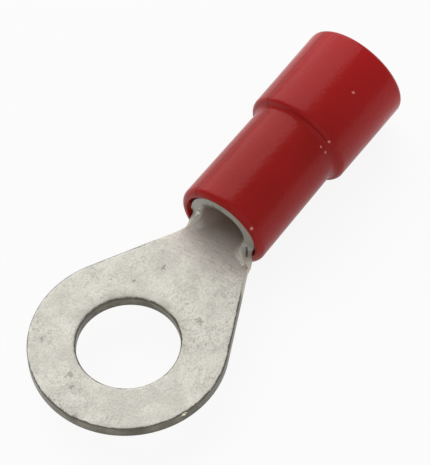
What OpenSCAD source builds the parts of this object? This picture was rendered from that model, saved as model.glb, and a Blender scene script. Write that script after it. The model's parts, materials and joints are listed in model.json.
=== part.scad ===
// Insulated ring terminal: a stamped and rolled tinned copper terminal
// with a moulded insulating sleeve gripping its barrel.
// The origin is on the seating face at the centre of the stud hole.
// +Z runs along the stud, +X from the ring towards the wire entry.

/* [Ring tongue] */
// Diameter of the stud hole
stud_hole_d = 4.3; // [3.2:0.1:5.3]
// Outer diameter of the ring
ring_d = 8.3; // [7.6:0.1:9.6]
// Thickness of the sheet
sheet_t = 0.55; // [0.5:0.05:0.8]
// Angle between each tapered side of the tongue and the centre line
taper_angle = 27; // [22:0.5:30]
// Distance from the stud hole's centre to the start of the formed neck
neck_start = 5.2; // [4.9:0.1:5.5]

/* [Barrel] */
// Outer diameter of the rolled barrel
barrel_d = 3.2; // [3:0.05:3.5]
// Distance from the stud hole's centre to the mouth of the barrel
barrel_start = 6.5; // [6.3:0.1:7.5]
// Length of the barrel
barrel_len = 4.9; // [4:0.1:7]
// Height of the barrel's axis above the upper face of the tongue
axis_rise = 0.43; // [0.2:0.01:0.7]
// Radius of the blank's inner corner between the neck and the barrel
corner_r = 0.6; // [0.4:0.05:0.8]
// Width of the groove along the barrel's butt seam
seam_w = 0.24; // [0.1:0.02:0.4]
// Depth of the groove along the barrel's butt seam
seam_depth = 0.12; // [0.05:0.01:0.2]

/* [Sleeve] */
// How far the sleeve reaches past the barrel's mouth towards the ring
mouth_cover = 0.1; // [0:0.05:0.3]
// Clearance between the barrel and the sleeve's bore, on the radius
grip_gap = 0.01; // [0.005:0.005:0.03]
// Wall of the sleeve over the barrel, at its front end
grip_wall = 0.46; // [0.4:0.01:0.6]
// How much thinner that wall is where the shoulder starts
grip_draft = 0.07; // [0:0.01:0.12]
// Radius of the sleeve's front lip
lip_r = 0.28; // [0.1:0.02:0.3]
// Width of the flare inside the front lip
flare_w = 0.14; // [0.05:0.01:0.18]
// Length of the flare inside the front lip
flare_len = 0.35; // [0.2:0.05:0.8]
// Length of the shoulder between the narrow part and the wire entry
shoulder_len = 0.45; // [0.3:0.05:0.8]
// Diameter of the wire entry's bore
entry_bore_d = 3.7; // [3.5:0.05:4]
// Wall of the wire entry
entry_wall = 0.48; // [0.44:0.01:0.7]
// Length of the wire entry, from the barrel's end to the sleeve's end
entry_len = 4.55; // [3:0.05:7]
// Radius of the rounding at the wire entry's end
end_r = 0.2; // [0.05:0.01:0.22]
// Step between the barrel's bore and the narrow end of the strand funnel
funnel_step = 0.06; // [0.02:0.01:0.15]
// Length of the funnel that leads the strands into the barrel
funnel_len = 0.9; // [0.5:0.1:1.5]

/* [Hidden] */
$fn = 96;
// overrun of a cutting tool past a face
cut = 1;
// how far the neck's faces lie inside the faces of the plate and the barrel that it joins
tuck = 0.01;
// how far the neck reaches into the plate and into the barrel's wall
bury = 0.4;
// number of strips across the neck and along its plain, rounded and buried lengths
strips = 20;
plain_steps = 8;
corner_steps = 12;
// where the corner's arc is cut short, just before it runs along the barrel's mouth
corner_end = 348;
// number of chords in each rounding of the sleeve
arc_steps = 8;

ring_r = ring_d / 2;
barrel_r = barrel_d / 2;
bore_r = barrel_r - sheet_t;
mid_r = barrel_r - sheet_t / 2;
axis_z = sheet_t + axis_rise;
barrel_end = barrel_start + barrel_len;

// The blank's outline: a straight taper that leaves the ring, then a round inner corner
// that turns into the edge of the barrel's flap.
function taper_half(x) = ring_r / cos(taper_angle) - x * tan(taper_angle);
corner_x = barrel_start - corner_r;
corner_y = taper_half(corner_x) + corner_r / cos(taper_angle);
corner_from = 270 - taper_angle;
taper_end = corner_x - corner_r * sin(taper_angle);

// Share of the forming done at x: 0 on the flat tongue, 1 at the barrel's mouth
function formed(x) =
    let (u = min(1, max(0, (x - neck_start) / (barrel_start - neck_start))))
    u * u * (3 - 2 * u);

// Height of the sheet's middle surface on the centre line at x
function floor_z(x) = sheet_t / 2 + formed(x) * (axis_z - mid_r - sheet_t / 2);

// Stations along the neck, each [x, half width of the flat blank]
neck_stations = concat(
    [[neck_start - bury, taper_half(neck_start - bury)]],
    [for (i = [0:plain_steps - 1])
        let (x = neck_start + (taper_end - neck_start) * i / plain_steps) [x, taper_half(x)]],
    [for (i = [0:corner_steps])
        let (a = corner_from + (corner_end - corner_from) * i / corner_steps)
        [corner_x + corner_r * cos(a), corner_y + corner_r * sin(a)]],
    [[barrel_start + bury, corner_y + corner_r * sin(corner_end)]]
);

// A point of the rolled sheet: s is the distance from the centre line along the section's
// middle arc, n the distance from that arc towards the barrel's axis.
function sheet_point(x, s, n) =
    let (bend = max(formed(x), 0.0001) / mid_r, turn = s * bend * 180 / PI)
    [x, sin(turn) / bend - n * sin(turn), floor_z(x) + (1 - cos(turn)) / bend + n * cos(turn)];

// The closed section of the sheet at one station
function neck_section(station) =
    let (half = station[1] - tuck, n = sheet_t / 2 - tuck)
    concat(
        [for (j = [0:strips]) sheet_point(station[0], half * (2 * j / strips - 1), n)],
        [for (j = [0:strips]) sheet_point(station[0], half * (1 - 2 * j / strips), -n)]
    );

// Skin over sections of equal count, each an upper row of points and the lower row back again.
// The caps are strips between the rows, so that they follow a curled section.
module loft(sections) {
    count = len(sections[0]);
    last = (len(sections) - 1) * count;
    polyhedron(
        points = [for (section = sections) each section],
        faces = concat(
            [for (j = [0:count / 2 - 2]) each quad(j, j + 1, count - 2 - j, count - 1 - j)],
            [for (i = [0:count:last - 1], j = [0:count - 1])
                let (k = (j + 1) % count)
                each quad(i + j, i + count + j, i + count + k, i + k)],
            [for (j = [0:count / 2 - 2])
                each quad(last + j, last + count - 1 - j, last + count - 2 - j, last + j + 1)]
        )
    );
}

// Two triangles over four corners
function quad(a, b, c, d) = [[a, c, b], [a, d, c]];

// Flat ring and tongue, up to where the neck starts to form
module tongue_plate() {
    // the sides start a hair inside the ring's edge, so that they cross it
    root = ring_r - tuck / 2;
    root_x = root * sin(taper_angle);
    root_y = root * cos(taper_angle);
    end_y = taper_half(neck_start) - tuck / 2;
    difference() {
        linear_extrude(sheet_t)
            union() {
                circle(r = ring_r);
                polygon([[root_x, -root_y], [neck_start, -end_y], [neck_start, end_y], [root_x, root_y]]);
            }
        translate([0, 0, -cut])
            cylinder(d = stud_hole_d, h = sheet_t + 2 * cut);
    }
}

// Sheet that passes from the flat tongue into the rolled barrel: it drops to the barrel's
// floor while its sides curl up round the barrel's axis.
module formed_neck() {
    loft([for (station = neck_stations) neck_section(station)]);
}

// Rolled barrel with its closed butt seam on top
module barrel() {
    translate([barrel_start, 0, axis_z])
        rotate([0, 90, 0])
            difference() {
                cylinder(r = barrel_r, h = barrel_len);
                translate([0, 0, -cut])
                    cylinder(r = bore_r, h = barrel_len + 2 * cut);
                seam_groove();
            }
}

// V-shaped groove where the flaps' edges meet. It is drawn from seam_depth above the surface
// to seam_depth below it, so that it is seam_w wide at the surface.
module seam_groove() {
    translate([-barrel_r, 0, -cut])
        linear_extrude(barrel_len + 2 * cut)
            polygon([[seam_depth, 0], [-seam_depth, seam_w], [-seam_depth, -seam_w]]);
}

module terminal() {
    color("silver")
        union() {
            tongue_plate();
            formed_neck();
            barrel();
        }
}

// Points of an arc about [cx, cy] from angle a to angle b
function arc(cx, cy, r, a, b) =
    [for (i = [0:arc_steps]) let (t = a + (b - a) * i / arc_steps) [cx + r * cos(t), cy + r * sin(t)]];

// Moulded sleeve: narrow where it grips the barrel, wide where the wire's insulation enters,
// with a shoulder inside that stops the barrel and funnels the strands into it.
module insulation_sleeve() {
    front = barrel_start - mouth_cover;
    end = barrel_end + entry_len;
    grip_r = barrel_r + grip_gap;
    front_r = grip_r + grip_wall;
    neck_r = front_r - grip_draft;
    entry_bore_r = entry_bore_d / 2;
    entry_r = entry_bore_r + entry_wall;
    // the shoulder is two equal arcs, hollow then round, that meet half way up
    rise = entry_r - neck_r;
    bow_r = (shoulder_len * shoulder_len + rise * rise) / (4 * rise);
    bow = atan2(shoulder_len / 2, bow_r - rise / 2);
    shoulder_x = barrel_end + shoulder_len;
    color("firebrick")
        rotate([0, 90, 0])
            translate([-axis_z, 0, 0])
                rotate_extrude()
                    polygon(concat(
                        [[grip_r + flare_w, front]],
                        arc(front_r - lip_r, front + lip_r, lip_r, -90, 0),
                        arc(neck_r + bow_r, barrel_end, bow_r, 180, 180 - bow),
                        arc(entry_r - bow_r, shoulder_x, bow_r, -bow, 0),
                        arc(entry_r - end_r, end - end_r, end_r, 0, 90),
                        [[entry_bore_r, end]],
                        [[entry_bore_r, barrel_end + funnel_len]],
                        [[bore_r + funnel_step, barrel_end]],
                        [[grip_r, barrel_end]],
                        [[grip_r, front + flare_len]]
                    ));
}

terminal();
insulation_sleeve();
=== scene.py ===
import json
import math
import bpy
import numpy as np
from mathutils import Matrix, Vector


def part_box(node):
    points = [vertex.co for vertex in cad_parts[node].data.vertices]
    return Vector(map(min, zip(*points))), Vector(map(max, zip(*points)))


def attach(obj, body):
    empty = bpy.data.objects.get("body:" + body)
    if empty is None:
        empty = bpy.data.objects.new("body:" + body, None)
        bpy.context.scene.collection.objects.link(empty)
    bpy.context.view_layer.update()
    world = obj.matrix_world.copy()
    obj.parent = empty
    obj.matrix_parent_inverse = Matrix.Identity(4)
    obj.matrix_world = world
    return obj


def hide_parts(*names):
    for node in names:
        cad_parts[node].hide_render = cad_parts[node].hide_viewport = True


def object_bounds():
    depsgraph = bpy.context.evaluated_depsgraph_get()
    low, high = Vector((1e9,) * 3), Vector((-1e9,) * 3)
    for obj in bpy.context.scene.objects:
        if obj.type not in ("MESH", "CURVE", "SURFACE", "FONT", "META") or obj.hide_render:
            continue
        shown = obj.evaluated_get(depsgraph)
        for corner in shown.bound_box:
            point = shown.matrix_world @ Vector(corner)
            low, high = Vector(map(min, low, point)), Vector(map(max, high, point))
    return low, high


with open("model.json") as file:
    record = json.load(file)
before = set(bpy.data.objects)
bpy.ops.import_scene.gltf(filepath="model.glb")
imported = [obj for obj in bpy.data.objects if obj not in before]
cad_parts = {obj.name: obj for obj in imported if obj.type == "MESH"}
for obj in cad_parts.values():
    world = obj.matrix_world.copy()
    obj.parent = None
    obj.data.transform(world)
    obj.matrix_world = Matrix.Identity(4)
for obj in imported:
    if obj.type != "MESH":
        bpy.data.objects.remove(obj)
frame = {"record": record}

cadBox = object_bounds()
mm = 0.001          # the dictionaries are in mm, Blender in metres
mounts = {mount["name"]: mount["dims"] for mount in frame["record"]["mounts"]}
print("frame loaded")


def linkObject(name, data):
    obj = bpy.data.objects.new(name, data)
    bpy.context.scene.collection.objects.link(obj)
    return obj


camera = {
    "place": (-112.473, -104.193, 241.014),
    "forward": (0.4127, 0.3629, -0.8354),
    "right": (0.5950, -0.8019, -0.0544),
    "lens": 541.94,             # a long lens from far off
    "sensor": 36,
    "clip": (0.01, 10),         # metres
}


def placeCamera():
    data = bpy.data.cameras.new("pictureCamera")
    data.lens = camera["lens"]
    data.sensor_width = camera["sensor"]
    data.clip_start, data.clip_end = camera["clip"]
    obj = linkObject("pictureCamera", data)
    forward = Vector(camera["forward"]).normalized()
    right = Vector(camera["right"])
    right = (right - forward * right.dot(forward)).normalized()
    turn = Matrix((right, right.cross(forward), -forward)).transposed()
    obj.matrix_world = Matrix.Translation(Vector(camera["place"]) * mm) @ turn.to_4x4()
    bpy.context.scene.camera = obj


placeCamera()
print("camera placed")


def gridFaces(index):
    # a grid of vertex numbers gives one face between each four neighbours
    corners = [index[:-1, :-1], index[1:, :-1], index[1:, 1:], index[:-1, 1:]]
    return np.stack(corners, axis=-1).reshape(-1, 4)


def meshPiece(name, points, faces, material, attributes=None):
    # points in mm and faces of four corners go into the mesh as whole arrays
    mesh = bpy.data.meshes.new(name)
    mesh.vertices.add(len(points))
    mesh.vertices.foreach_set("co", (points * mm).astype(np.float32).ravel())
    mesh.loops.add(faces.size)
    mesh.loops.foreach_set("vertex_index", faces.astype(np.int32).ravel())
    mesh.polygons.add(len(faces))
    mesh.polygons.foreach_set("loop_start", np.arange(0, faces.size, 4, dtype=np.int32))
    mesh.polygons.foreach_set("use_smooth", np.ones(len(faces), bool))
    mesh.update(calc_edges=True)
    mesh.validate()
    for key, values in (attributes or {}).items():
        layer = mesh.attributes.new(key, "FLOAT", "POINT")
        layer.data.foreach_set("value", values.astype(np.float32))
    mesh.materials.append(material)
    return linkObject(name, mesh)


def newMaterial(name):
    material = bpy.data.materials.new(name)
    material.use_nodes = True
    tree = material.node_tree
    tree.nodes.clear()
    out = tree.nodes.new("ShaderNodeOutputMaterial")
    shader = tree.nodes.new("ShaderNodeBsdfPrincipled")
    tree.links.new(shader.outputs["BSDF"], out.inputs["Surface"])
    return material, tree, shader


def feed(tree, socket, value):
    # a socket takes another node's output, a colour or a number
    if isinstance(value, bpy.types.NodeSocket):
        tree.links.new(value, socket)
    elif isinstance(value, tuple) and socket.type == "RGBA":
        socket.default_value = (*value, 1)
    else:
        socket.default_value = value


def addNode(tree, kind, inputs=None, **settings):
    made = tree.nodes.new(kind)
    for key, value in settings.items():
        setattr(made, key, value)
    for key, value in (inputs or {}).items():
        feed(tree, made.inputs[key], value)
    return made


def grey(value):
    return (value, value, value)


def ramp(tree, factor, *stops):
    # stops are (place, colour) pairs
    made = addNode(tree, "ShaderNodeValToRGB", {"Fac": factor})
    points = made.color_ramp.elements
    while len(points) < len(stops):
        points.new(0.5)
    for point, (place, colour) in zip(points, stops):
        point.position = place
        point.color = (*colour, 1)
    return made.outputs["Color"]


def fade(tree, factor, stops):
    # a ramp of greys: stops are (place, level) pairs
    return ramp(tree, factor, *((place, grey(level)) for place, level in stops))


def shade(tree, factor, levels, first, last):
    # one colour up to the first of the two levels, the other from the second on
    return ramp(tree, factor, (levels[0], first), (levels[1], last))


def mixed(tree, factor, first, second, blend="MIX"):
    made = addNode(tree, "ShaderNodeMix", data_type="RGBA", blend_type=blend)
    feed(tree, made.inputs[0], factor)
    feed(tree, made.inputs[6], first)
    feed(tree, made.inputs[7], second)
    return made.outputs[2]


def maths(tree, operation, first, second=0.0):
    made = addNode(tree, "ShaderNodeMath", operation=operation)
    feed(tree, made.inputs[0], first)
    feed(tree, made.inputs[1], second)
    return made.outputs[0]


def times(tree, first, second):
    return maths(tree, "MULTIPLY", first, second)


def highest(tree, first, second):
    return maths(tree, "MAXIMUM", first, second)


def minus(tree, first, second):
    return maths(tree, "SUBTRACT", first, second)


def noise(tree, where, size, detail, roughness, squeeze=(1, 1, 1), shift=(0, 0, 0)):
    # size is the coarsest grain, and squeeze shortens it along an axis
    inputs = {"Vector": where, "Scale": squeeze, "Location": tuple(step * mm for step in shift)}
    where = addNode(tree, "ShaderNodeMapping", inputs).outputs[0]
    inputs = {"Vector": where, "Scale": 1 / (size * mm), "Detail": detail, "Roughness": roughness}
    return addNode(tree, "ShaderNodeTexNoise", inputs).outputs["Fac"]


def between(tree, value, ends):
    # 0 before the first of the two ends, 1 past the last
    inputs = {"Value": value, "From Min": ends[0] * mm, "From Max": ends[1] * mm}
    return addNode(tree, "ShaderNodeMapRange", inputs).outputs[0]


def addBump(tree, shader, height, strength, distance):
    inputs = {"Height": height, "Strength": strength, "Distance": distance * mm}
    feed(tree, shader.inputs["Normal"], addNode(tree, "ShaderNodeBump", inputs).outputs[0])


def spots(tree, where, places, edge=0.5):
    # 1 in the listed places (x, y, z, radius), each a ball that fades from its middle; the noise
    # 'edge' breaks its outline up, and 0.5 leaves it plain
    breakUp = 5.0
    found = None
    for x, y, z, radius in places:
        inputs = {0: where, 1: (x * mm, y * mm, z * mm)}
        away = addNode(tree, "ShaderNodeVectorMath", inputs, operation="DISTANCE").outputs["Value"]
        near = minus(tree, 1.0, times(tree, away, 1 / (radius * mm)))
        found = near if found is None else highest(tree, found, near)
    broken = maths(tree, "ADD", found, times(tree, minus(tree, edge, 0.5), breakUp))
    return fade(tree, broken, ((0.35, 0.0), (0.6, 1.0)))


low, high = (np.array(corner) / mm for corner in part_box("terminal"))
terminal = {
    "ringRadius": 4.144,
    "studRadius": mounts["stud_hole"]["r_mm"],
    "thick": mounts["stud_hole"]["length_mm"],
    "taper": (30.0, 25.8),      # degrees, sides at +Y and -Y
    "cornerRadius": (0.7, 0.25),
    "cornerSplit": 300.0,       # degrees on the corner's arc, where the flap starts
    "neckStart": 4.9,
    "sinkStart": 5.0,           # where the floor starts to fall, and where it is level again
    "sinkEnd": 8.4,
    "curlStart": 5.75,          # where the sides start to curl up
    "leastCurl": 1e-4,          # what the flat tongue has instead of 0
    "heelRadius": 0.5,          # bend between the flat floor and the barrel's wall
    "barrelRadius": 1.6,
    "axisHeight": 0.98,
    "barrelEnd": high[0],
    "barrelStart": high[0] - mounts["conductor_bore"]["length_mm"],
    "margin": 0.3,              # how far inside the outline the inner grid stops
    "roll": (0.12, 0.045),      # width and depth of the rounding along the upper edges
    "holeRoll": (0.13, 0.12),
    "burr": (0.05, 0.05),       # the same along the lower edges
    "seamGap": 0.012,
    "seamRound": (0.11, 0.11),
    "flapRoll": (0.10, 0.12),
    "hiddenRoll": (0.04, 0.04), # the same along edges that hardly show
    "shearFrom": (1.0, 1.5),    # radians down the upper rounding, where the sheared wall begins
    "shearTo": (1.2, 0.2),      # radians down the lower one: it is gone at 1.2, whole at 0.2
    "platedFrom": (4.2, 4.7),   # along the neck's sides, where plating covers most of that wall
    "platedShare": 0.85,
    "insideFrom": (-0.1, 0.9),  # behind the barrel's mouth, where its inside turns dark, partly as painted shade
    "points": {
        # counts along each stretch of the grid
        "corner": 9,
        "across": 27,
        "ring": 145,
        "side": 20,
        "radial": 13,
        "flap": 13,
        "roll": 9,
        "burr": 5,
    },
    "wallRows": (0.33, 0.67),   # shares of the straight wall's height
    "barrelRows": (0, 0.012, 0.024, 0.036, 0.055, 0.08, 0.12, 0.18, 0.27, 0.4, 0.55, 0.7, 0.85, 1),
}
terminal["midRadius"] = terminal["barrelRadius"] - terminal["thick"] / 2


def share(value, first, last):
    # 0 up to first, 1 from last on, straight between
    return np.clip((value - first) / (last - first), 0, 1)


def easeIn(u, first, last):
    # the same with 3t^2 - 2t^3 between
    t = share(u, first, last)
    return t * t * (3 - 2 * t)


def middleSurface(u, v):
    # Inside the barrel the section is a circle of radius midRadius cut off by a flat floor, with
    # a small heel arc between the two; the floor sinks towards the rear until the circle is
    # whole. In front of the mouth the same section is opened by dividing its curvature.
    t = terminal
    radius, heel, half = t["midRadius"], t["heelRadius"], t["thick"] / 2
    closed = np.maximum(easeIn(u, t["curlStart"], t["barrelStart"]), t["leastCurl"])
    floor = half + easeIn(u, t["sinkStart"], t["sinkEnd"]) * (t["axisHeight"] - radius - half)
    heelTurn = np.arccos(np.clip((t["axisHeight"] - floor - heel) / (radius - heel), -1, 1))
    flat = (radius - heel) * np.sin(heelTurn)
    spare = (radius - heel) * (heelTurn - np.sin(heelTurn)) / (math.pi * radius)
    s = np.abs(v) * (1 - closed * spare)
    inHeel = np.clip(s - flat, 0, heel * heelTurn)
    inWall = np.maximum(s - flat - heel * heelTurn, 0)
    first = closed * inHeel / heel
    last = first + closed * inWall / radius
    y = np.minimum(s, flat) + (heel * np.sin(first) + radius * (np.sin(last) - np.sin(first))) / closed
    z = floor + (heel * (1 - np.cos(first)) + radius * (np.cos(first) - np.cos(last))) / closed
    return np.stack([u, np.sign(v) * y, z], axis=-1)


def rolledSheet(u, v, n):
    # the middle surface moved by n along its own normal, upwards on the tongue
    step = 1e-3
    along = middleSurface(u + step, v) - middleSurface(u - step, v)
    across = middleSurface(u, v + step) - middleSurface(u, v - step)
    normal = np.cross(along, across)
    normal /= np.linalg.norm(normal, axis=-1, keepdims=True)
    return middleSurface(u, v) + normal * n[..., None]


def sideOfNeck(taper, radius):
    # the neck's side, 'margin' inside the blank's outline: a straight taper at a tangent to the
    # ring, then the inner corner's arc; gives the neck's part, the flap's part and the tangent
    # point with its angle
    t = terminal
    count = t["points"]["corner"]
    a = math.radians(taper)
    arcRadius = radius + t["margin"]
    cornerU = t["barrelStart"] - radius
    cornerV = (t["ringRadius"] + radius) / math.cos(a) - cornerU * math.tan(a)
    start, middle, end = 1.5 * math.pi - a, math.radians(t["cornerSplit"]), 2 * math.pi

    def arc(angle):
        return np.stack([cornerU + arcRadius * np.cos(angle), cornerV + arcRadius * np.sin(angle)], axis=-1)

    inner = t["ringRadius"] - t["margin"]
    straightU = np.linspace(t["neckStart"], cornerU - arcRadius * math.sin(a), count)[:-1]
    straight = np.stack([straightU, inner / math.cos(a) - straightU * math.tan(a)], axis=-1)
    neckSide = np.concatenate([straight, arc(np.linspace(start, middle, count))])
    flapFront = arc(np.linspace(middle, end, count)[1:])
    tangent = inner * np.array([math.sin(a), math.cos(a)])
    return neckSide, flapFront, tangent, math.pi / 2 - a


def line(first, last, count):
    # even steps on a straight line, both ends included
    return np.array(first) + (np.array(last) - first) * np.linspace(0, 1, count)[:, None]


def blankGrid():
    # Plan (u, v) of the flat blank inside its edges, and grids of vertex numbers that share
    # their common rows: columns fanned round the stud hole, rows along the neck, rows along
    # the barrel.
    t, counts = terminal, terminal["points"]
    mirror = np.array([1, -1])
    left, leftFlap, leftTangent, leftAngle = sideOfNeck(t["taper"][0], t["cornerRadius"][0])
    right, rightFlap, rightTangent, rightAngle = sideOfNeck(t["taper"][1], t["cornerRadius"][1])
    right, rightFlap, rightTangent = right * mirror, rightFlap * mirror, rightTangent * mirror
    across = np.linspace(0, 1, counts["across"])[None, :, None]
    neck = right[:, None] * (1 - across) + left[:, None] * across

    # fan: ends of its columns, then straight radial steps from the hole
    circle = np.linspace(leftAngle, 2 * math.pi - rightAngle, counts["ring"])
    ring = (t["ringRadius"] - t["margin"]) * np.stack([np.cos(circle), np.sin(circle)], axis=-1)
    ends = np.concatenate([neck[0], line(left[0], leftTangent, counts["side"])[1:-1], ring,
                           line(rightTangent, right[0], counts["side"])[1:-1]])
    starts = ends / np.linalg.norm(ends, axis=1, keepdims=True) * (t["studRadius"] + t["margin"])
    fan = starts[:, None] + (ends - starts)[:, None] * np.linspace(0, 1, counts["radial"])[:, None]

    # barrel: its first row runs along both flaps' front edges and the neck's last row
    reach = math.pi * t["midRadius"] - t["seamGap"] / 2 - t["margin"]
    mouth = t["barrelStart"] + t["margin"]
    leftFlap = np.concatenate([leftFlap, line(leftFlap[-1], (mouth, reach), counts["flap"])[1:]])
    rightFlap = np.concatenate([rightFlap, line(rightFlap[-1], (mouth, -reach), counts["flap"])[1:]])
    first = np.concatenate([rightFlap[::-1], neck[-1], leftFlap])
    rear = np.stack([np.full(len(first), t["barrelEnd"] - t["margin"]), first[:, 1]], axis=-1)
    barrel = first + (rear - first) * np.array(t["barrelRows"])[:, None, None]

    # numbers: the neck's rows and the barrel's rows after the first are new vertices
    neckCount, flapCount = neck.shape[1], len(leftFlap)
    fanIndex = np.arange(fan.shape[0] * fan.shape[1]).reshape(fan.shape[:2])
    total = fanIndex.size
    neckIndex = np.empty(neck.shape[:2], int)
    neckIndex[0] = fanIndex[:neckCount, -1]
    neckIndex[1:] = total + np.arange(neckIndex[1:].size).reshape(neckIndex[1:].shape)
    total += neckIndex[1:].size
    barrelIndex = np.empty(barrel.shape[:2], int)
    flaps = np.r_[0:flapCount, flapCount + neckCount:barrel.shape[1]]
    barrelIndex[0, flapCount:flapCount + neckCount] = neckIndex[-1]
    barrelIndex[0, flaps] = total + np.arange(len(flaps))
    total += len(flaps)
    barrelIndex[1:] = total + np.arange(barrelIndex[1:].size).reshape(barrelIndex[1:].shape)
    plan = np.concatenate([fan.reshape(-1, 2), neck[1:].reshape(-1, 2), barrel[0, flaps],
                           barrel[1:].reshape(-1, 2)])
    closedFan = np.concatenate([fanIndex, fanIndex[:1]])
    faces = np.concatenate([gridFaces(closedFan.T), gridFaces(neckIndex), gridFaces(barrelIndex)])

    # the outer edge as one loop with the sheet on its left, and the upper and lower roundings
    # along it
    plain = t["hiddenRoll"]
    parts = [
        (barrelIndex[-1], plain, plain),
        (barrelIndex[-2:0:-1, -1], plain, t["seamRound"]),
        (barrelIndex[0, -flapCount:][::-1], t["flapRoll"], plain),
        (neckIndex[::-1, -1], t["roll"], t["burr"]),
        (fanIndex[neckCount:, -1], t["roll"], t["burr"]),
        (neckIndex[:, 0], t["roll"], t["burr"]),
        (barrelIndex[0, :flapCount][::-1], t["flapRoll"], plain),
        (barrelIndex[1:-1, 0], plain, t["seamRound"]),
    ]
    loop = np.concatenate([numbers for numbers, _, _ in parts])
    rounding = np.concatenate([np.tile(upper + lower, (len(numbers), 1))
                               for numbers, upper, lower in parts])
    bare = 1 - t["platedShare"] * easeIn(plan[loop][:, 0], *t["platedFrom"])
    hole = fanIndex[::-1, 0]
    holeRounding = np.tile(t["holeRoll"] + t["burr"], (len(hole), 1))
    return plan, faces, (loop, rounding, bare), (hole, holeRounding, np.ones(len(hole)))


def mitre(points):
    # outward direction at each corner of a loop, long enough that the sides move by one
    ahead = np.roll(points, -1, axis=0) - points
    ahead /= np.linalg.norm(ahead, axis=1, keepdims=True)
    right = np.stack([ahead[:, 1], -ahead[:, 0]], axis=-1)
    before = np.roll(right, 1, axis=0)
    return (before + right) / (1 + (before * right).sum(1))[:, None]


def edgeProfile(rounding, bare):
    # distance inside the outline and height in the sheet: a quarter of an ellipse under the
    # upper face, a straight wall, another quarter at the bottom; the columns of 'rounding' are
    # the width and depth of the upper and of the lower one
    t = terminal
    upper = np.linspace(0, math.pi / 2, t["points"]["roll"])[None]
    lower = np.linspace(0, math.pi / 2, t["points"]["burr"])[None]
    wall = np.array(t["wallRows"])[None]
    half = t["thick"] / 2
    rollWidth, rollDepth, burrWidth, burrDepth = (column[:, None] for column in rounding.T)
    top, bottom = half - rollDepth, burrDepth - half
    inside = np.concatenate([rollWidth * (1 - np.sin(upper)), np.zeros_like(top * wall),
                             burrWidth * (1 - np.cos(lower))], axis=1)
    height = np.concatenate([half - rollDepth * (1 - np.cos(upper)), top + (bottom - top) * wall,
                             -half + burrDepth * (1 - np.sin(lower))], axis=1)
    shear = np.concatenate([share(upper, *t["shearFrom"]), np.ones_like(wall),
                            share(lower, *t["shearTo"])], axis=1)
    return inside, height, shear * bare[:, None]


def buildTerminal(material):
    # the grid lifted to both faces of the sheet, with the edge profile carried round the
    # outline and round the stud hole; the attributes tell the material how far each vertex is
    # on a sheared wall, on a rim, bare of plating and inside the barrel
    t = terminal
    plan, gridQuads, outline, hole = blankGrid()
    count = len(plan)
    half = np.full(count, t["thick"] / 2)
    none = np.zeros(count * 2)
    u = [plan[:, 0], plan[:, 0]]
    v = [plan[:, 1], plan[:, 1]]
    n = [half, -half]
    shear, rim, bare = [none], [none], [none]
    faces = [gridQuads, gridQuads[:, ::-1] + count]
    total = 2 * count
    for loop, rounding, loopBare in (outline, hole):
        inside, height, edgeShear = edgeProfile(rounding, loopBare)
        away = mitre(plan[loop])
        place = plan[loop][:, None] + away[:, None] * (t["margin"] - inside)[..., None]
        numbers = total + np.arange(inside.size).reshape(inside.shape)
        total += inside.size
        strip = np.concatenate([loop[:, None], numbers, loop[:, None] + count], axis=1)
        strip = np.concatenate([strip, strip[:1]])
        faces.append(gridFaces(strip.T))
        u.append(place[..., 0].ravel())
        v.append(place[..., 1].ravel())
        n.append(height.ravel())
        shear.append(edgeShear.ravel())
        rim.append((1 - inside / t["margin"]).ravel())
        bare.append(np.repeat(loopBare, inside.shape[1]))
    u, v, n, shear, rim, bare = (np.concatenate(rows) for rows in (u, v, n, shear, rim, bare))
    first, last = (t["barrelStart"] + step for step in t["insideFrom"])
    depth = share(u, first, last) * (n > 0)
    return meshPiece("terminalSheet", rolledSheet(u, v, n), np.concatenate(faces), material,
                     {"shear": shear, "rim": rim, "bare": bare, "depth": depth})


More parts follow.
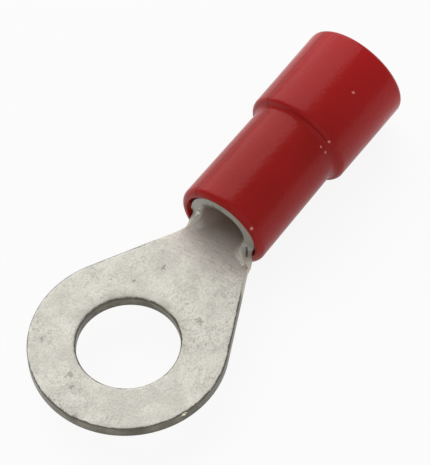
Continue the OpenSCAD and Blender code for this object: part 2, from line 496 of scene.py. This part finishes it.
tin = {
    "light": (0.655, 0.64, 0.57),
    "dull": (0.61, 0.59, 0.53),
    "plateLevels": (0.38, 0.52),        # levels of the cloud for dull and for light plate
    "worn": (0.55, 0.53, 0.48),
    "pit": (0.22, 0.20, 0.17),
    "shear": (0.235, 0.222, 0.173),     # wall that the punch sheared
    "shearDark": (0.13, 0.12, 0.09),    # the same in patches, and painted shade along its foot and along the rim
    "shearLevels": (0.42, 0.60),
    "plated": (0.46, 0.47, 0.41),       # end faces and wall that the plating covers
    "burnished": (0.86, 0.84, 0.68),    # painted highlight on that wall along the neck's sides
    # painted glints on nicks and on the left flap's end
    "nick": (0.95, 0.93, 0.72),
    "rollShade": (0.30, 0.30, 0.32),    # painted reflection on the rounded outer edge, on the +Y side
    "halo": (0.30, 0.28, 0.22),         # painted shade of the punched dip round the stud hole, towards the neck
    "bright": (0.93, 0.90, 0.86),       # fine lines polished into the crease
    # painted shadow in the fold at the right flap's foot
    "fold": (0.07, 0.075, 0.055),
    "tarnish": (0.10, 0.115, 0.075),
    "crease": (0.72, 0.64, 0.59),       # painted reflection of the red sleeve: lighter, pinker plate on the slope into the barrel
    "inside": (0.50, 0.38, 0.31),       # thin plate deep in the barrel, darker partly as painted shade of the recess
    "metallic": 0.75,
    "matteMetallic": 0.30,              # on plated edges and on the slope
    "shearRoughness": 0.28,
    # noises: size, detail and roughness, then squeeze and shift
    "cloud": (0.9, 6.0, 0.62),
    "grain": (0.16, 4.0, 0.65),
    "speck": (0.09, 2.0, 0.6),
    "crack": (0.34, 5.0, 0.65, (1, 1, 1), (0.3, 0.1, 0.0)),
    "patch": (1.7, 2.0, 0.5, (1, 1, 1), (0.0, 0.7, 0.0)),
    "scratch": (0.7, 4.0, 0.7, (9.0, 1.0, 9.0)),
    "fades": {
        # pairs of a noise's level and the effect there
        "worn": ((0.37, 0.8), (0.46, 0.0)),
        "speck": ((0.36, 0.86), (0.56, 1.0)),
        "pits": ((0.27, 1.0), (0.33, 0.0)),
        "cracks": ((0.487, 0.0), (0.497, 1.0), (0.507, 0.0)),
        "cracked": ((0.47, 0.0), (0.60, 0.5)),
        "drawn": ((0.57, 0.0), (0.62, 0.32)),
        "polished": ((0.36, 0.38), (0.41, 0.0)),
        "halo": ((0.35, 0.60), (0.65, 0.28)),
        "rubbed": ((0.80, 0.0), (0.86, 0.9)),
        "plated": ((0.82, 0.0), (0.94, 1.0)),
        "stains": ((0.38, 0.3), (0.52, 0.8)),
        "roughness": ((0.3, 0.56), (0.7, 0.46)),
    },
    "reach": {
        # where each effect begins and where it is whole, along x unless a note says otherwise
        "tip": (1.5, -3.5),
        "creaseFront": (3.9, 4.9),
        "creaseRear": (6.6, 6.0),
        "slope": (4.6, 5.6),
        "halo": (-0.9, 1.2),
        "haloRound": (2.75, 2.25),      # from the stud's axis
        "wallTop": (0.0, 0.22),         # z
        "leftRim": (1.8, 3.0),          # y
        "endFace": (5.9, 6.3),
    },
    "shares": {
        "tip": 0.09,
        "pits": 0.6,
        "scuffs": 0.6,
        "slope": 0.8,
        "ragged": 0.7,
        "plated": 0.9,
        "slit": 0.85,
    },
    "heights": {"grain": 0.7, "cloud": 0.6, "marks": 0.3},
    "bump": (0.5, 0.04),                # strength and distance
    # marks in given places: x, y, z and radius
    "scuffs": [
        (3.73, 0.95, 0.55, 0.16), (2.50, 1.62, 0.55, 0.13), (2.48, -1.77, 0.55, 0.20),
        (-1.88, 3.03, 0.55, 0.18), (-2.55, 1.03, 0.55, 0.20), (-3.02, 0.62, 0.55, 0.12),
        (-3.98, 0.95, 0.52, 0.18), (-4.08, 0.35, 0.50, 0.24), (-4.05, -0.35, 0.50, 0.20),
    ],
    # painted glints on nicks in the ring's lower edge
    "nicks": [(-1.42, -3.93, 0.47, 0.13), (-1.33, -3.96, 0.50, 0.10), (-1.50, -3.90, 0.46, 0.08)],
    "stains": [
        # dark green patches on the end face of the barrel's left flap
        (6.50, 0.12, 2.06, 0.27), (6.50, 0.36, 2.02, 0.36),
        (6.50, 0.60, 1.92, 0.33), (6.50, 0.80, 1.76, 0.30),
    ],
    # painted glints on the end of the barrel's left flap
    "lumps": [(6.44, 1.18, 1.04, 0.13), (6.36, 1.26, 0.92, 0.10), (6.48, 1.12, 1.34, 0.08)],
    "slit": [
        # painted shadow in the fold at the foot of the right flap
        (6.40, -1.29, 0.64, 0.10), (6.35, -1.34, 0.59, 0.11), (6.30, -1.38, 0.54, 0.12),
        (6.23, -1.42, 0.51, 0.11), (6.16, -1.46, 0.48, 0.10),
    ],
}


def tinMaterial():
    material, tree, shader = newMaterial("tinPlate")
    fades, reach, shares, heights = tin["fades"], tin["reach"], tin["shares"], tin["heights"]
    where = addNode(tree, "ShaderNodeTexCoord").outputs["Object"]
    along, aside, up = addNode(tree, "ShaderNodeSeparateXYZ", {"Vector": where}).outputs
    away = addNode(tree, "ShaderNodeVectorMath", {0: where}, operation="LENGTH").outputs["Value"]
    shear, rim, bare, depth = (addNode(tree, "ShaderNodeAttribute", attribute_name=name).outputs["Fac"]
                               for name in ("shear", "rim", "bare", "depth"))
    cloud = noise(tree, where, *tin["cloud"])
    grain = noise(tree, where, *tin["grain"])
    speck = noise(tree, where, *tin["speck"])
    crack = noise(tree, where, *tin["crack"])
    patch = noise(tree, where, *tin["patch"])
    scratch = noise(tree, where, *tin["scratch"])

    # plate with worn patches and specks, and painted shade: darker towards the ring's tip
    tipShadedCloud = minus(tree, cloud, times(tree, between(tree, along, reach["tip"]), shares["tip"]))
    colour = shade(tree, tipShadedCloud, tin["plateLevels"], tin["dull"], tin["light"])
    colour = mixed(tree, fade(tree, grain, fades["worn"]), colour, tin["worn"])
    colour = mixed(tree, 1.0, colour, fade(tree, speck, fades["speck"]), "MULTIPLY")

    # pits are the lowest places of a noise, thin cracks its crossings of the middle level, and
    # the forming tool drew fine lines across the crease
    pits = times(tree, fade(tree, crack, fades["pits"]), shares["pits"])
    cracks = times(tree, fade(tree, crack, fades["cracks"]), fade(tree, patch, fades["cracked"]))
    scuffs = times(tree, spots(tree, where, tin["scuffs"], grain), shares["scuffs"])
    creased = times(tree, between(tree, along, reach["creaseFront"]),
                    between(tree, along, reach["creaseRear"]))
    drawn = times(tree, fade(tree, scratch, fades["drawn"]), creased)
    marks = highest(tree, highest(tree, pits, cracks), highest(tree, scuffs, drawn))

    # painted reflection of the red sleeve on the slope into the barrel
    slope = times(tree, between(tree, along, reach["slope"]), shares["slope"])
    colour = mixed(tree, slope, colour, tin["crease"])
    polished = times(tree, fade(tree, scratch, fades["polished"]), creased)
    colour = mixed(tree, polished, colour, tin["bright"])
    # painted shade round the stud hole, on the side towards the neck
    halo = times(tree, between(tree, away, reach["haloRound"]), between(tree, along, reach["halo"]))
    halo = times(tree, halo, fade(tree, cloud, fades["halo"]))
    colour = mixed(tree, halo, colour, tin["halo"])
    colour = mixed(tree, marks, colour, tin["pit"])

    # edges: painted shade along the rim, broken up raggedly, with a painted reflection on the +Y side; the
    # sheared wall with painted shade at its foot; the barrel's inside, partly painted shade; the plated
    # faces, with a painted highlight along the neck's sides
    # painted shade along the rolled rim, with a painted reflection on its +Y side
    ragged = maths(tree, "ADD", rim, times(tree, minus(tree, crack, 0.5), shares["ragged"]))
    rubbed = times(tree, fade(tree, ragged, fades["rubbed"]), bare)
    rimShadeAndReflection = mixed(tree, between(tree, aside, reach["leftRim"]), tin["shearDark"], tin["rollShade"])
    colour = mixed(tree, rubbed, colour, rimShadeAndReflection)
    wall = shade(tree, cloud, tin["shearLevels"], tin["shearDark"], tin["shear"])
    # painted shade towards the foot of the sheared wall
    wall = mixed(tree, between(tree, up, reach["wallTop"]), tin["shearDark"], wall)
    colour = mixed(tree, shear, colour, wall)
    # darker, browner plate deep in the barrel, partly painted shade of the recess
    colour = mixed(tree, depth, colour, tin["inside"])
    plated = times(tree, fade(tree, rim, fades["plated"]), minus(tree, 1.0, bare))
    # painted highlight on the plated wall along the neck's sides, plain plated colour at the end faces
    edge = mixed(tree, between(tree, along, reach["endFace"]), tin["burnished"], tin["plated"])
    colour = mixed(tree, times(tree, plated, shares["plated"]), colour, edge)

    # dark green patches on the left flap's end face
    greenDarkened = times(tree, spots(tree, where, tin["stains"]), fade(tree, crack, fades["stains"]))
    colour = mixed(tree, greenDarkened, colour, tin["tarnish"])
    # painted glints on the nicks and on the left flap's end
    colour = mixed(tree, spots(tree, where, tin["nicks"] + tin["lumps"], grain), colour, tin["nick"])
    # painted shadow in the fold at the foot of the right flap
    slit = times(tree, spots(tree, where, tin["slit"]), shares["slit"])
    colour = mixed(tree, slit, colour, tin["fold"])
    feed(tree, shader.inputs["Base Color"], colour)

    metallic = mixed(tree, highest(tree, plated, slope), grey(tin["metallic"]), grey(tin["matteMetallic"]))
    feed(tree, shader.inputs["Metallic"], metallic)
    roughness = mixed(tree, shear, fade(tree, cloud, fades["roughness"]), grey(tin["shearRoughness"]))
    feed(tree, shader.inputs["Roughness"], roughness)
    height = maths(tree, "ADD", times(tree, grain, heights["grain"]), times(tree, cloud, heights["cloud"]))
    addBump(tree, shader, minus(tree, height, times(tree, marks, heights["marks"])), *tin["bump"])
    return material


tinPlate = tinMaterial()
sheet = buildTerminal(tinPlate)
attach(sheet, "root")
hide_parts("terminal")
print("terminal made")


low, high = (np.array(corner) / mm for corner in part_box("insulation_sleeve"))
sleeve = {
    "front": low[0],
    "end": high[0],
    "axisHeight": terminal["axisHeight"],
    "gripGap": 0.01,                    # between the barrel and the bore that holds it
    "frontRadius": 2.07,
    "neckRadius": 2.0,
    "entryRadius": (high[2] - low[2]) / 2,
    "entryBore": mounts["wire_entry"]["r_mm"],
    "lip": 0.28,
    "flareWidth": 0.14,
    "flareLength": 0.35,
    "shoulder": 0.45,
    "endRound": 0.2,
    "boreBevel": 0.05,
    "funnelStep": 0.06,
    "funnelLength": 0.9,
    "around": 192,
    "points": {
        # counts along each stretch of the profile
        "front": 3,
        "lip": 12,
        "draft": 16,
        "shoulder": 12,
        "entry": 16,
        "endRound": 10,
        "bevel": 3,
        "bore": 10,
        "funnel": 6,
        "step": 4,
        "grip": 12,
        "flare": 6,
    },
}


def arcPoints(r, x, radius, start, end, count):
    # points of an arc in the half plane of a turned profile
    a = np.radians(np.linspace(start, end, count))
    return np.stack([r + radius * np.cos(a), x + radius * np.sin(a)], axis=-1)


def sleeveProfile():
    # radius and distance along the barrel, from the front lip along the outside to the wire
    # entry and back through the inside; the shoulder is two equal arcs, hollow then round
    s, counts = sleeve, sleeve["points"]
    barrelEnd = terminal["barrelEnd"]
    grip = terminal["barrelRadius"] + s["gripGap"]
    rise = s["entryRadius"] - s["neckRadius"]
    bow = (s["shoulder"] ** 2 + rise ** 2) / (4 * rise)
    sweep = math.degrees(math.atan2(s["shoulder"] / 2, bow - rise / 2))
    lipEnd = (s["frontRadius"], s["front"] + s["lip"])
    shoulderEnd = (s["entryRadius"], barrelEnd + s["shoulder"])
    endRim = (s["entryRadius"], s["end"] - s["endRound"])
    bevelStart = (s["entryBore"] + s["boreBevel"], s["end"])
    bevelEnd = (s["entryBore"], s["end"] - s["boreBevel"])
    boreEnd = (s["entryBore"], barrelEnd + s["funnelLength"])
    funnelEnd = (terminal["barrelRadius"] - terminal["thick"] + s["funnelStep"], barrelEnd)
    gripStart = (grip, barrelEnd)
    flareEnd = (grip, s["front"] + s["flareLength"])
    flareStart = (grip + s["flareWidth"], s["front"])
    return np.concatenate([
        line(flareStart, (s["frontRadius"] - s["lip"], s["front"]), counts["front"])[:-1],
        arcPoints(lipEnd[0] - s["lip"], lipEnd[1], s["lip"], -90, 0, counts["lip"]),
        line(lipEnd, (s["neckRadius"], barrelEnd), counts["draft"])[1:-1],
        arcPoints(s["neckRadius"] + bow, barrelEnd, bow, 180, 180 - sweep, counts["shoulder"]),
        arcPoints(s["entryRadius"] - bow, shoulderEnd[1], bow, -sweep, 0, counts["shoulder"])[1:],
        line(shoulderEnd, endRim, counts["entry"])[1:-1],
        arcPoints(endRim[0] - s["endRound"], endRim[1], s["endRound"], 0, 90, counts["endRound"]),
        line(bevelStart, bevelEnd, counts["bevel"]),
        line(bevelEnd, boreEnd, counts["bore"])[1:],
        line(boreEnd, funnelEnd, counts["funnel"])[1:],
        line(funnelEnd, gripStart, counts["step"])[1:],
        line(gripStart, flareEnd, counts["grip"])[1:],
        line(flareEnd, flareStart, counts["flare"])[1:-1],
    ])


def buildSleeve(material):
    # the profile turned about the barrel's axis
    profile = sleeveProfile()
    angle = np.linspace(0, 2 * math.pi, sleeve["around"], endpoint=False)[:, None]
    r, x = profile[:, 0][None], profile[:, 1][None]
    aside, up = r * np.sin(angle), r * np.cos(angle)
    points = np.stack([np.broadcast_to(x, up.shape), aside, sleeve["axisHeight"] + up], axis=-1)
    index = np.arange(points[..., 0].size).reshape(points.shape[:2])
    index = np.concatenate([index, index[:1]])
    index = np.concatenate([index, index[:, :1]], axis=1)
    return meshPiece("sleeveBody", points.reshape(-1, 3), gridFaces(index)[:, ::-1], material)


vinyl = {
    "red": (0.39, 0.011, 0.009),
    "deep": (0.35, 0.009, 0.007),
    "redLevels": (0.35, 0.65),          # levels of the cloud for deep and for plain red
    "shade": (0.10, 0.004, 0.004),
    "hollow": (0.50, 0.011, 0.012),     # painted light: lighter red where light passes through the wall with no metal in it
    "hollowLead": 0.4,                  # how far in front of the barrel's end that begins
    "dust": (0.75, 0.30, 0.28),
    "partingTurn": 38.0,                # degrees from the top towards +Y, where the mould's halves met
    "partingReach": (0.07, 0.0175),     # to each side, where it begins and where it is whole
    "partingShare": 0.6,
    # noises: size, detail and roughness
    "cloud": (3.0, 3.0, 0.5),
    "grain": (0.35, 3.0, 0.6),
    "fine": (0.16, 2.0, 0.6),
    "roughness": ((0.3, 0.25), (0.7, 0.16)),
    "ior": 1.47,
    "specular": 0.22,
    "heights": {"grain": 0.3, "fine": 1.1, "parting": 0.25},
    "bump": (0.4, 0.03),                # strength and distance
    "specks": [
        # x, y, z and radius
        (13.92, -1.35, 2.88, 0.12), (11.34, -1.56, 2.24, 0.12), (11.67, -1.75, 2.38, 0.055),
        (11.37, -1.75, 1.95, 0.08), (6.51, -1.59, 2.20, 0.12),
    ],
}


def partingLine(tree, where):
    # 1 on a thin line along the sleeve: the distance from the plane that holds the axis and
    # leans by partingTurn, on the upper side alone
    a = math.radians(vinyl["partingTurn"])
    inputs = {0: where, 1: (0.0, 0.0, sleeve["axisHeight"] * mm)}
    centred = addNode(tree, "ShaderNodeVectorMath", inputs, operation="SUBTRACT").outputs[0]
    inputs = {0: centred, 1: (0.0, math.cos(a), -math.sin(a))}
    off = addNode(tree, "ShaderNodeVectorMath", inputs, operation="DOT_PRODUCT").outputs["Value"]
    inputs = {0: centred, 1: (0.0, math.sin(a), math.cos(a))}
    up = addNode(tree, "ShaderNodeVectorMath", inputs, operation="DOT_PRODUCT").outputs["Value"]
    near = between(tree, maths(tree, "ABSOLUTE", off), vinyl["partingReach"])
    return times(tree, near, maths(tree, "GREATER_THAN", up, 0.0))


def vinylMaterial():
    material, tree, shader = newMaterial("redVinyl")
    heights = vinyl["heights"]
    where = addNode(tree, "ShaderNodeTexCoord").outputs["Object"]
    along = addNode(tree, "ShaderNodeSeparateXYZ", {"Vector": where}).outputs["X"]
    cloud = noise(tree, where, *vinyl["cloud"])
    grain = noise(tree, where, *vinyl["grain"])
    fine = noise(tree, where, *vinyl["fine"])
    parting = partingLine(tree, where)
    colour = shade(tree, cloud, vinyl["redLevels"], vinyl["deep"], vinyl["red"])
    # painted light through the wall where no metal is in it, towards the wire entry
    hollow = between(tree, along, (terminal["barrelEnd"] - vinyl["hollowLead"], sleeve["end"]))
    colour = mixed(tree, hollow, colour, vinyl["hollow"])
    colour = mixed(tree, times(tree, parting, vinyl["partingShare"]), colour, vinyl["shade"])
    # pale pink specks at the listed places
    colour = mixed(tree, spots(tree, where, vinyl["specks"], grain), colour, vinyl["dust"])
    feed(tree, shader.inputs["Base Color"], colour)
    feed(tree, shader.inputs["IOR"], vinyl["ior"])
    feed(tree, shader.inputs["Specular IOR Level"], vinyl["specular"])
    feed(tree, shader.inputs["Roughness"], fade(tree, grain, vinyl["roughness"]))
    height = maths(tree, "ADD", times(tree, grain, heights["grain"]), times(tree, fine, heights["fine"]))
    addBump(tree, shader, minus(tree, height, times(tree, parting, heights["parting"])), *vinyl["bump"])
    return material


redVinyl = vinylMaterial()
body = buildSleeve(redVinyl)
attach(body, "root")
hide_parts("insulation_sleeve")
print("sleeve made")


studio = {
    # lengths in metres
    "floorHeight": cadBox[0][2],
    "floorSize": 3.0,
    "paper": (0.93, 0.93, 0.93),
    "white": (1.0, 1.0, 1.0),
    "floorGlow": 0.90,          # share of plain white in the floor that is seen
    "floorMirrored": 0.45,      # the same in reflections, which keep more of the shadow
    "world": (0.36, 0.36, 0.36),
    "aim": (0.006, 0, 0),
    "lamps": [
        # name, place, size, power in watts
        ("backSoftbox", (0.33, 0.515, 0.515), 1.1, 5.4),
        ("frontFill", (-0.62, -0.55, 0.45), 1.4, 1.7),
    ],
}


def whiteFloor():
    # lit paper mixed with plain white, which is the larger share to the camera and about half in
    # reflections; the object's shadow stays in the paper's share
    material = bpy.data.materials.new("whitePaper")
    material.use_nodes = True
    tree = material.node_tree
    tree.nodes.clear()
    out = tree.nodes.new("ShaderNodeOutputMaterial")
    paper = addNode(tree, "ShaderNodeBsdfDiffuse", {"Color": studio["paper"]})
    glow = addNode(tree, "ShaderNodeEmission", {"Color": studio["white"]})
    rays = addNode(tree, "ShaderNodeLightPath")
    seen = highest(tree, rays.outputs["Is Camera Ray"], rays.outputs["Is Transmission Ray"])
    seen = times(tree, seen, studio["floorGlow"])
    mirrored = times(tree, rays.outputs["Is Glossy Ray"], studio["floorMirrored"])
    choice = addNode(tree, "ShaderNodeMixShader", {"Fac": highest(tree, seen, mirrored)})
    tree.links.new(paper.outputs[0], choice.inputs[1])
    tree.links.new(glow.outputs[0], choice.inputs[2])
    tree.links.new(choice.outputs[0], out.inputs["Surface"])
    half = studio["floorSize"] / 2 / mm
    side = np.linspace(-half, half, 3)
    u, v = np.meshgrid(side, side, indexing="ij")
    points = np.stack([u, v, np.full(u.shape, studio["floorHeight"] / mm)], axis=-1).reshape(-1, 3)
    return meshPiece("paperFloor", points, gridFaces(np.arange(u.size).reshape(u.shape)), material)


def studioLight():
    world = bpy.data.worlds.new("paleStudio")
    bpy.context.scene.world = world
    world.use_nodes = True
    feed(world.node_tree, world.node_tree.nodes["Background"].inputs["Color"], studio["world"])
    for name, place, size, power in studio["lamps"]:
        data = bpy.data.lights.new(name, "AREA")
        data.shape = "SQUARE"
        data.size = size
        data.energy = power
        obj = linkObject(name, data)
        obj.location = place
        obj.rotation_euler = (Vector(studio["aim"]) - Vector(place)).to_track_quat("-Z", "Y").to_euler()


paper = whiteFloor()
studioLight()
bpy.context.scene.view_settings.view_transform = "Standard"
print("studio lit")
